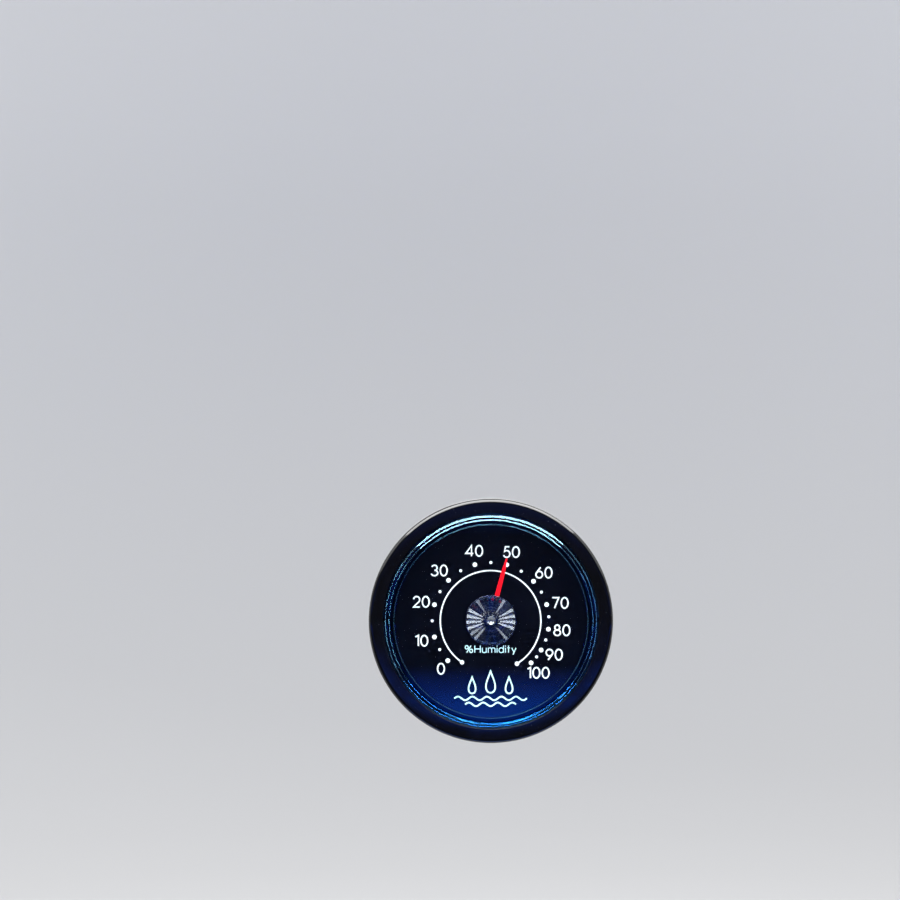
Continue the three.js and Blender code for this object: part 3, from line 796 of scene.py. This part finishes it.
def wave_line(width, z, height, periods):
    """Rippling line of so many waves, centred on x = 0."""
    steps = round(14 * periods)
    return [(width * (k / steps - 0.5), z + height * math.sin(2 * math.pi * periods * k / steps))
            for k in range(steps + 1)]


def print_emblem():
    """Generic mark in the foot of the dial: three drops over rippling water."""
    base = -EMBLEM_DROP
    shapes = []
    for x, z, size in EMBLEM_DROPS:
        shapes += stroke(drop_outline(x * MM, base + z * MM, size * MM), EMBLEM_LINE, True)
    for width, drop, periods in EMBLEM_WAVES:
        shapes += stroke(wave_line(width * MM, base - drop * MM, WAVE_HEIGHT, periods), EMBLEM_LINE)
    print_on_dial("print_emblem", shapes, MINT_INK)


# ---------------- pointer, cap, arbor and coil

def pointer():
    """Slim crowned needle with a foot that reaches back to the coil's outer end."""
    back, front = front_of("pointer") - 0.3 * MM, front_of("pointer")
    root_r, waist_r, tip_r = 5.95 * MM, 15 * MM, 19.3 * MM
    root, waist, tip = 0.7 * MM, 0.575 * MM, 0.225 * MM
    outline = [(-root, root_r + 0.3 * MM), (-root + 0.2 * MM, root_r), (root - 0.2 * MM, root_r),
               (root, root_r + 0.3 * MM), (waist, waist_r)]
    outline += ellipse(0, tip_r - tip, tip, tip, 0, 180, 8) + [(-waist, waist_r)]
    blade = plate("blade", [outline], back, front, 0.09 * MM, steps=3)
    foot = block("foot", (-0.6 * MM, -back - 0.1 * MM, root_r),
                 (0.6 * MM, -back_of("pointer"), root_r + 0.3 * MM), 0.06 * MM)
    mesh = about_axis(joined(blade, foot), READING)
    return piece("needle", mesh, "pointer", RED, ["pointer"])


FLUTES = 24
FLUTE_DEPTH = 0.6 * MM


def rosette():
    """Clear cap pleated into radial flutes inside a round bead, on a skirt clear of the pointer."""
    back, front = back_of("rosette_cap"), front_of("rosette_cap")
    hole, rim, hub = 1.45 * MM, ROSETTE_R, 2.2 * MM
    bead = 0.34 * MM
    flute_r = rim - bead
    under = back + 0.9 * MM
    collar = front + 0.45 * MM
    corners = [
        (hub - 0.15 * MM, front, 0), (hub - 0.2 * MM, collar, 0.25 * MM), (hole, collar, 0.2 * MM),
        (hole, under, 0), (rim - 0.8 * MM, under, 0.3 * MM),
        (rim - 0.6 * MM, back, 0.1 * MM), (rim, back, 0.1 * MM), (rim, front - 0.1 * MM, 0.26 * MM),
        (flute_r + 0.04 * MM, front - 0.1 * MM, 0.04 * MM), (flute_r + 0.02 * MM, front - 0.55 * MM, 0),
    ]
    ring = filleted(corners, True)
    radial = [(flute_r - (flute_r - hub) * k / 8, front) for k in range(9)]
    profile = ring + radial
    mesh = turned("rosette", profile, steps=FLUTES * 12)
    for vert in mesh.vertices:
        r = math.hypot(vert.co.x, vert.co.z)
        if -vert.co.y > front - 0.3 * MM and hub <= r < flute_r + 0.01 * MM:
            turn = math.degrees(math.atan2(vert.co.x, vert.co.z)) % (360 / FLUTES)
            valley = abs(turn / (360 / FLUTES) - 0.5) * 2  # 0 on a ridge, 1 in a valley
            vert.co.y += FLUTE_DEPTH * valley * r / flute_r
    return piece("rosette", mesh, "arbor", CAP, ["rosette_cap"])


def arbor():
    """Turned pin with a grooved pivot and a screwdriver slot in its polished, dished front end."""
    back, front = back_of("arbor"), front_of("arbor")
    pivot, body, groove = 0.8 * MM, 1.4 * MM, 0.62 * MM
    shoulder = front_of("bearing_bush") + 0.1 * MM
    clip = back_of("retaining_clip")
    corners = [
        (0, back, 0), (pivot, back, 0.2 * MM), (pivot, clip - 0.1 * MM, 0.03 * MM),
        (groove, clip - 0.1 * MM, 0), (groove, clip + 0.4 * MM, 0), (pivot, clip + 0.4 * MM, 0.03 * MM),
        (pivot, shoulder, 0), (body, shoulder, 0.05 * MM), (body, front, 0.2 * MM),
        (1.1 * MM, front, 0.1 * MM), (0.15 * MM, front - 0.7 * MM, 0.1 * MM), (0, front - 0.7 * MM, 0),
    ]
    pin = turned("arbor_pin", filleted(corners, False), closed=False, steps=64)
    slot = block("slot", (-2 * MM, -front - MM, -0.22 * MM), (2 * MM, -front + 0.6 * MM, 0.22 * MM))
    return piece("arbor_pin", cut(pin, [slot], 0.04 * MM), "arbor", POLISHED, ["arbor"])


COIL_INNER_R = 2.6 * MM
COIL_OUTER_R = 5.7 * MM
COIL_TURNS = (COIL_OUTER_R - COIL_INNER_R) / (0.8 * MM)
COIL_PAST_CLIP = 12  # degrees


def coil():
    """Spiral strip. Its inner end lies by the arbor and its outer end by the pointer."""
    back, front = back_of("humidity_coil"), front_of("humidity_coil")
    steps = 400
    start = COIL_PAST_CLIP - 360 * COIL_TURNS
    path = [(1.75 * MM, start), (2.2 * MM, start)]
    path += [(COIL_INNER_R + (COIL_OUTER_R - COIL_INNER_R) * k / steps,
              start + 360 * COIL_TURNS * k / steps) for k in range(steps + 1)]
    line = [Vector(polar(r, angle + READING)) for r, angle in path]
    half, rim = 0.1 * MM, 0.08 * MM
    section = [(-half, back + rim), (-half + 0.04 * MM, back), (half - 0.04 * MM, back),
               (half, back + rim), (half, front - rim), (half - 0.04 * MM, front),
               (-half + 0.04 * MM, front), (-half, front - rim)]
    verts, faces, shares = [], [], []
    count = len(section)
    for i, here in enumerate(line):
        along = (line[min(i + 1, len(line) - 1)] - line[max(i - 1, 0)]).normalized()
        across = Vector((-along.y, along.x))
        # The strip winds evenly along its length, so each point's share of the winding is listed.
        share = (path[i][1] - start) / -start
        for offset, depth in section:
            point = here + across * offset
            verts.append((point.x, -depth, point.y))
            shares.append(min(max(share, 0.0), 1.0))
        if i:
            for k in range(count):
                a, b = (i - 1) * count + k, (i - 1) * count + (k + 1) % count
                faces.append((a, b, b + count, a + count))
    faces.append(tuple(range(count)))
    faces.append(tuple(range(len(verts) - count, len(verts))))
    mesh = bpy.data.meshes.new("coil")
    mesh.from_pydata(verts, [], faces)
    mesh.polygons.foreach_set("use_smooth", [True] * len(mesh.polygons))
    mesh.set_sharp_from_angle(angle=math.radians(40))
    mesh.materials.append(STRIP)
    obj = placed("coil", mesh)
    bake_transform(obj)
    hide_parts("humidity_coil")


# ---------------- hook-and-loop fastener

PAD_SIDE = 2 * radius_of("wall_loop_pad")
PAD_CORNER = 4 * MM
HOOK_BASE = 0.6 * MM  # thickness of the hooks' woven base
LOOP_BASE = 0.7 * MM
HOOK_PITCH = 0.85 * MM
LOOP_PITCH = 0.62 * MM


def pad_points(pitch, jitter, chance):
    """Places (x, z) over the pad, in uneven rows, kept inside its rounded edge."""
    count = int((PAD_SIDE - 1.2 * MM) / pitch)
    points = []
    for i in range(count + 1):
        for j in range(count + 1):
            x = (i - count / 2) * pitch + chance.uniform(-jitter, jitter)
            z = (j - count / 2) * pitch + chance.uniform(-jitter, jitter)
            corner = PAD_SIDE / 2 - PAD_CORNER
            over_x, over_z = max(abs(x) - corner, 0), max(abs(z) - corner, 0)
            if math.hypot(over_x, over_z) < PAD_CORNER - 0.6 * MM:
                points.append((x, z))
    return points


def bristle(verts, faces, line, radius, sides):
    """Adds a thin thread along a line of points to a growing mesh."""
    first = len(verts)
    for i, here in enumerate(line):
        along = (line[min(i + 1, len(line) - 1)] - line[max(i - 1, 0)]).normalized()
        across = along.orthogonal().normalized()
        for k in range(sides):
            turn = Matrix.Rotation(2 * math.pi * k / sides, 3, along)
            verts.append(here + turn @ across * radius)
    for i in range(len(line) - 1):
        for k in range(sides):
            a, b = first + i * sides + k, first + i * sides + (k + 1) % sides
            faces.append((a, b, b + sides, a + sides))
    faces.append(tuple(first + k for k in range(sides)))
    faces.append(tuple(len(verts) - sides + k for k in range(sides)))


def hook_line(x, z, chance):
    """Points of one hook: a short stem that bends over to one side."""
    lean = chance.choice((-1, 1))
    root = front_of("case_hook_pad") - HOOK_BASE
    height = root - back_of("case_hook_pad") - chance.uniform(0.03, 0.12) * MM
    line = [Vector((x, -(root - 0.05 * MM), z)), Vector((x, -(root - 0.6 * height), z))]
    bow = 0.2 * MM
    for k in range(1, 6):
        turn = math.radians(36 * k + 10)
        aside = lean * bow * (1 - math.cos(turn))
        line.append(line[1] + Vector((aside, 0.36 * height * math.sin(turn), 0)))
    return line


def loop_line(x, z, chance):
    """Points of one loop, which leans a little."""
    way = chance.uniform(0, math.pi)
    width = chance.uniform(0.18, 0.34) * MM
    root = back_of("wall_loop_pad") + LOOP_BASE
    height = (front_of("wall_loop_pad") - root) * chance.uniform(0.6, 0.97)
    lean = Vector((chance.uniform(-0.2, 0.2), 0, chance.uniform(-0.2, 0.2))) * MM
    side = Vector((math.cos(way), 0, math.sin(way))) * width
    foot = Vector((x, -(root - 0.1 * MM), z))
    line = []
    for k in range(8):
        turn = math.pi * k / 7
        rise = math.sin(turn)
        spread = side * math.cos(turn) * (0.6 + 0.6 * rise)
        line.append(foot + spread + lean * rise + Vector((0, -height * rise, 0)))
    return line


def pile(name, line_at, pitch, jitter, seed, radius, sides):
    """Mesh of all the hooks or loops of a pad."""
    chance = random.Random(seed)
    verts, faces = [], []
    for x, z in pad_points(pitch, jitter, chance):
        bristle(verts, faces, line_at(x, z, chance), radius, sides)
    mesh = bpy.data.meshes.new(name)
    mesh.from_pydata(verts, [], faces)
    return mesh


def hook_pad():
    """Woven base whose stiff monofilament hooks point back at the wall."""
    front = front_of("case_hook_pad")
    base = plate("hook_base", [rounded_square(PAD_SIDE, PAD_CORNER)], front - HOOK_BASE, front, 0.12 * MM)
    hooks = pile("hooks", hook_line, HOOK_PITCH, 0.1 * MM, 11, 0.075 * MM, 4)
    return piece("hook_pad", joined(base, hooks), "gauge", HOOK_NYLON,
                 ["case_hook_pad"])


def loop_pad():
    """Woven base under a nap of soft loops that reach out from the wall."""
    back = back_of("wall_loop_pad")
    base = plate("loop_base", [rounded_square(PAD_SIDE, PAD_CORNER)], back, back + LOOP_BASE, 0.12 * MM)
    loops = pile("loops", loop_line, LOOP_PITCH, 0.25 * MM, 23, 0.045 * MM, 3)
    return piece("loop_pad", joined(base, loops), "wall_pad", LOOP_NYLON,
                 ["wall_loop_pad"])


def adhesive(name, node, body):
    """Foam film with a slightly wavy cut edge."""
    film = plate(name, [rounded_square(PAD_SIDE, PAD_CORNER, 0.25 * MM)], back_of(node), front_of(node),
                 0.1 * MM)
    return piece(name, film, body, ADHESIVE, [node])


# ---------------- CAD nodes that keep their shape

def dress_nodes():
    """Better materials for the movement's small parts, which stay as packed."""
    looks = {
        "movement_bridge": BLUED, "bearing_bush": BRASS, "arbor_collet": BLUED,
        "bridge_screw_1": STEEL, "bridge_screw_2": STEEL, "bridge_screw_3": STEEL,
        "retaining_clip": STEEL, "friction_washer": STEEL, "coil_end_clip": STEEL,
    }
    for node, look in looks.items():
        for holder in NODES[node].material_slots:
            holder.material = look


# ---------------- stage, lights and camera

FLOOR = -0.3  # metres, as the other studio sizes
STUDIO_R = 1.8
BEND_R = 0.7  # of the floor as it bends up into the wall
WALL_TOP = 2


def studio():
    """Pale floor that bends up into a plain wall all round. It is only seen, and shades nothing."""
    bend = ellipse(STUDIO_R - BEND_R, FLOOR + BEND_R, BEND_R, BEND_R, -90, 0, 12)
    line = [(0, FLOOR), *bend, (STUDIO_R, WALL_TOP)]
    bowl = turned("studio", line, closed=False, steps=96)
    bowl.transform(Matrix.Rotation(-math.pi / 2, 4, "X"))
    bowl.polygons.foreach_set("use_smooth", [True] * len(bowl.polygons))
    obj = placed("studio", bowl)
    bowl.materials.append(studio_grey())
    obj.visible_diffuse = False
    obj.visible_glossy = False
    obj.visible_transmission = False
    obj.visible_shadow = False


def softbox(name, place, aim, size, radiance, colour=(1, 1, 1)):
    """Rectangular lamp that faces a point. A level one has its width along the ground."""
    lamp = bpy.data.lights.new(name, "AREA")
    lamp.shape = "RECTANGLE"
    lamp.size, lamp.size_y = size
    lamp.energy = radiance * math.pi * size[0] * size[1]
    lamp.color = colour
    obj = placed(name, lamp)
    obj.location = place
    obj.rotation_euler = (Vector(aim) - Vector(place)).to_track_quat("-Z", "Y").to_euler()
    obj.visible_camera = False
    return obj


def glint_panel(*values, on=()):
    """Softbox that only shows as a glint: on the outside of some pieces, or else through clear plastic."""
    lamp = softbox(*values)
    lamp.visible_diffuse = False
    lamp.visible_glossy = bool(on)
    lamp.visible_transmission = not on
    if on:
        shiny = bpy.data.collections.new(lamp.name)
        for shown in on:
            shiny.objects.link(shown)
        lamp.light_linking.receiver_collection = shiny


PALE_BLUE = (0.5, 0.82, 1)
SKY_BLUE = (0.25, 0.55, 1)
DEEP_BLUE = (0.03, 0.3, 0.95)
RIM_BLUE = (0.03, 0.2, 0.95)


def lights(ring, lens):
    """Soft lamps round the gauge, and panels that show as white glints above and blue ones below."""
    gauge = (0, -0.015, 0)
    softbox("key", (0, -0.4, 0.62), gauge, (0.8, 0.4), 4.6)
    softbox("left_fill", (-0.75, -0.35, 0.5), gauge, (0.5, 0.4), 2.6)
    softbox("right_fill", (0.75, -0.3, 0.45), gauge, (0.5, 0.4), 2)
    softbox("back_fill", (0.2, 0.75, 0.6), gauge, (0.8, 0.5), 3)
    softbox("wall_wash", (0, -0.2, 1.4), (0, 1.8, 0.1), (2.8, 0.5), 6)
    overhead = (0, -0.72, 0.7), (0, -0.72, 0), (1.5, 1.38)
    glint_panel("overhead_lens", *overhead, 32, on=(lens,))
    glint_panel("overhead_rim", *overhead, 10, on=(ring,))
    glint_panel("overhead_through", *overhead, 10)
    under = (0, 0.13, -0.28), (0, 0.13, 0), (0.7, 0.45)
    glint_panel("under_lens", *under, 28, DEEP_BLUE, on=(lens,))
    glint_panel("under_through", *under, 6, DEEP_BLUE)
    glint_panel("under_rim", (0, 0.04, -0.28), (0, 0.04, 0), (0.5, 0.34), 6, RIM_BLUE, on=(ring,))
    glint_panel("left_edge", (-0.85, 0.2, 0), (0, 0.2, 0), (0.8, 1), 9, PALE_BLUE, on=(lens,))
    glint_panel("right_edge", (0.85, 0.2, 0), (0, 0.2, 0), (0.8, 0.8), 6, SKY_BLUE, on=(lens,))


def linked(tree, kind, values, **inputs):
    """Adds a node, sets its named values and links its named inputs."""
    node = tree.nodes.new(kind)
    for name, value in values.items():
        node.inputs[name].default_value = value
    for name, source in inputs.items():
        tree.links.new(source, node.inputs[name])
    return node


DARK_AIR = (0.003, 0.005, 0.012)
AIR_REACH = 0.3  # sine of the highest and lowest elevation in AIR_FRONT
AIR_FRONT = (  # (sine of elevation, colour) of what the face mirrors
    (-AIR_REACH, (0.004, 0.01, 0.03)), (-0.1215, (0.002, 0.004, 0.012)), (-0.1185, (0.02, 0.3, 2.6)),
    (-0.104, (0.008, 0.09, 0.9)), (-0.095, DARK_AIR), (-0.035, DARK_AIR), (-0.02, (0.006, 0.05, 0.4)),
    (0.05, (0.006, 0.05, 0.3)), (0.12, DARK_AIR), (0.25, DARK_AIR), (AIR_REACH, (0.1, 0.12, 0.15)),
)
AIR_PALE = (0.95, 0.955, 0.97)
AIR_SEEN = (0.82, 0.83, 0.85)  # where nothing else is behind the object


def front_air(tree, height):
    """Colour of the air in front of the gauge, by the sine of the elevation."""
    span = linked(tree, "ShaderNodeMapRange", {"From Min": -AIR_REACH, "From Max": AIR_REACH}, Value=height)
    front = linked(tree, "ShaderNodeValToRGB", {}, Fac=span.outputs["Result"])
    ramp = front.color_ramp
    ramp.elements.remove(ramp.elements[1])
    for i, (sine, colour) in enumerate(AIR_FRONT):
        position = (sine + AIR_REACH) / (2 * AIR_REACH)
        stop = ramp.elements.new(position) if i else ramp.elements[0]
        stop.position = position
        stop.color = (*colour, 1)
    return front.outputs["Color"]


def surroundings():
    """Pale all round. The part in front of the gauge, which its window mirrors, is dark and blue."""
    world = bpy.data.worlds.new("studio_air")
    bpy.context.scene.world = world
    world.use_nodes = True
    tree = world.node_tree
    tree.nodes.clear()
    where = tree.nodes.new("ShaderNodeTexCoord").outputs["Generated"]
    axes = linked(tree, "ShaderNodeSeparateXYZ", {}, Vector=where)
    front_to_pale = {"From Min": -0.4, "From Max": -0.2}  # y of the direction
    facing = linked(tree, "ShaderNodeMapRange", front_to_pale, Value=axes.outputs["Y"])
    path = tree.nodes.new("ShaderNodeLightPath")
    lit = colour_mix(tree, facing.outputs["Result"], front_air(tree, axes.outputs["Z"]), AIR_PALE)
    seen = colour_mix(tree, path.outputs["Is Camera Ray"], lit, AIR_SEEN)
    air = linked(tree, "ShaderNodeBackground", {}, Color=seen)
    linked(tree, "ShaderNodeOutputWorld", {}, Surface=air.outputs["Background"])


VIEW_WIDTH = 270.3 * MM  # what the frame spans at the bezel's face
CAMERA_LEFT, CAMERA_UP = 12.3 * MM, 51.4 * MM
SENSOR = 36
LENS = 92


def camera():
    """Level camera a little above and left of the gauge, which sits low in the frame.

    The plain view transform keeps the white printing white and the black paint black.
    """
    data = bpy.data.cameras.new("camera")
    data.sensor_width = SENSOR
    data.lens = LENS
    data.clip_start, data.clip_end = 0.01, 20
    obj = placed("camera", data)
    distance = VIEW_WIDTH * LENS / SENSOR
    obj.location = (-CAMERA_LEFT, -BEZEL_FRONT - distance, CAMERA_UP)
    obj.rotation_euler = (math.pi / 2, 0, 0)
    bpy.context.scene.camera = obj
    bpy.context.scene.view_settings.view_transform = "Standard"


# ---------------- the whole

camera()
ring = bezel()
rear_case()
lens = window()
dial()
print_scale()
print_numbers()
print_unit()
print_emblem()
pointer()
rosette()
arbor()
coil()
hook_pad()
loop_pad()
adhesive("case_film", "case_adhesive", "gauge")
adhesive("wall_film", "wall_adhesive", "wall_pad")
dress_nodes()
studio()
lights(ring, lens)
surroundings()
